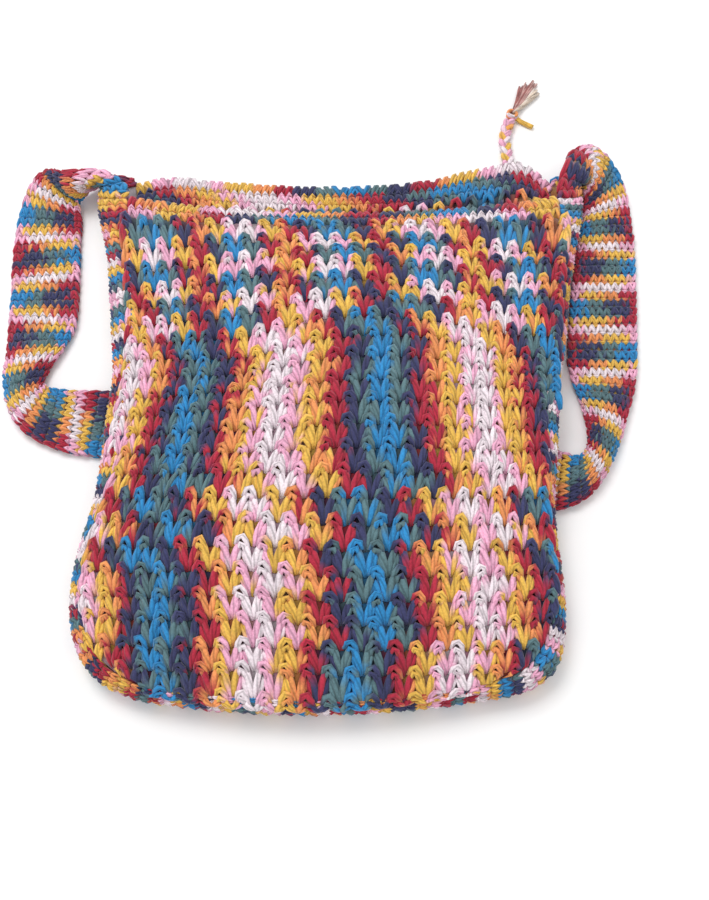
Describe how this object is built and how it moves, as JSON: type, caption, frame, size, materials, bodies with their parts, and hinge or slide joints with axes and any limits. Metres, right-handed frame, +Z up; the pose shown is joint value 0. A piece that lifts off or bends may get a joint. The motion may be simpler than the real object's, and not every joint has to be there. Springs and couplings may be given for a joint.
{
  "type": "tote bag",
  "caption": "Soft crocheted tote bag lying on its back: front and back panels joined by a gusset band that goes on as a wide shoulder strap, with an open mouth and a short braided tie.",
  "frame": {"origin": "on the floor below the middle of the bag and its strap, measured without the braided tie", "axes": "+Y towards the mouth, +X to the right seen from above, +Z up off the surface that the bag lies on"},
  "size_m": [0.3884, 0.4227, 0.0296],
  "materials": {
    "front_panel": "matte variegated cotton yarn",
    "back_panel": "matte variegated cotton yarn",
    "gusset": "matte variegated cotton yarn",
    "front_rim": "matte variegated cotton yarn",
    "back_rim": "matte variegated cotton yarn",
    "shoulder_strap": "matte variegated cotton yarn",
    "closure_braid": "matte variegated cotton yarn",
    "braid_tassel": "matte variegated cotton yarn"
  },
  "bodies": {
    "root": {"front_panel": "front_panel", "back_panel": "back_panel", "gusset": "gusset", "front_rim": "front_rim", "back_rim": "back_rim", "shoulder_strap": "shoulder_strap", "closure_braid": "closure_braid", "braid_tassel": "braid_tassel"}
  },
  "joints": []
}
